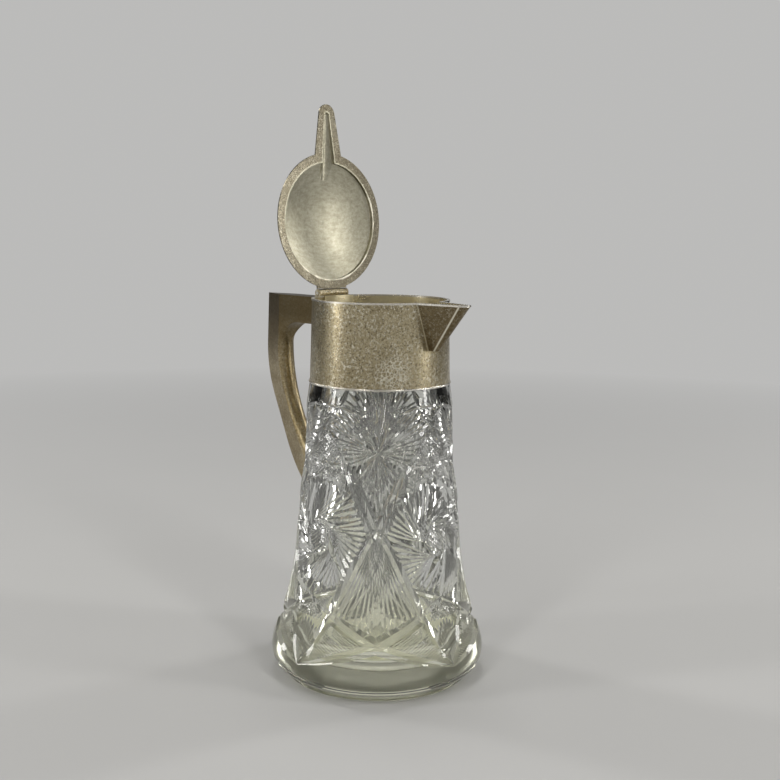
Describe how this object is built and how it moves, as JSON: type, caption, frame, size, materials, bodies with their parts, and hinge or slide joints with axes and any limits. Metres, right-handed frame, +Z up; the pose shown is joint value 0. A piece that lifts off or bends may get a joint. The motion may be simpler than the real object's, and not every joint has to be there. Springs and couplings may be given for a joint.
{
  "type": "claret jug",
  "caption": "Tall cut-glass claret jug with a silver collar, beak spout, hollow wedge-shaped handle and a hinged domed lid with a tongue over the spout.",
  "frame": {"origin": "centre of the foot ring, on the surface the jug stands on", "axes": "+Z up along the jug's axis, +X towards the spout, -X towards the handle, Y along the hinge pin"},
  "size_m": [0.1954, 0.1428, 0.377],
  "materials": {
    "cut_glass": "polished cut lead crystal, faintly straw-tinted where thick",
    "silver": "old satin silver, tarnished warm grey-brown, finely pitted",
    "silver_inside": "paler brushed silver inside the lid",
    "silver_bright": "worn bright silver edge",
    "plaster": "matt plaster bed"
  },
  "bodies": {
    "jug": {"glass_body": "cut_glass", "cement_bed": "plaster", "collar": "silver", "collar_bead": "silver_bright", "spout": "silver", "rim_wire": "silver_bright", "handle_sides": "silver", "handle_inner_strip": "silver", "handle_top_plate": "silver", "hinge_plate": "silver", "hinge_knuckles_collar": "silver", "hinge_pin": "silver_bright"},
    "lid": {"hinge_knuckles_lid": "silver", "hinge_leaf_lid": "silver", "lid_flange": "silver", "lid_dome": "silver_inside"}
  },
  "joints": [
    {"name": "lid_hinge", "type": "hinge", "parent": "jug", "child": "lid", "pos_m": [-0.048, 0, 0.2516], "axis": [0, 1, 0], "range_deg": [0, 93.5]}
  ]
}
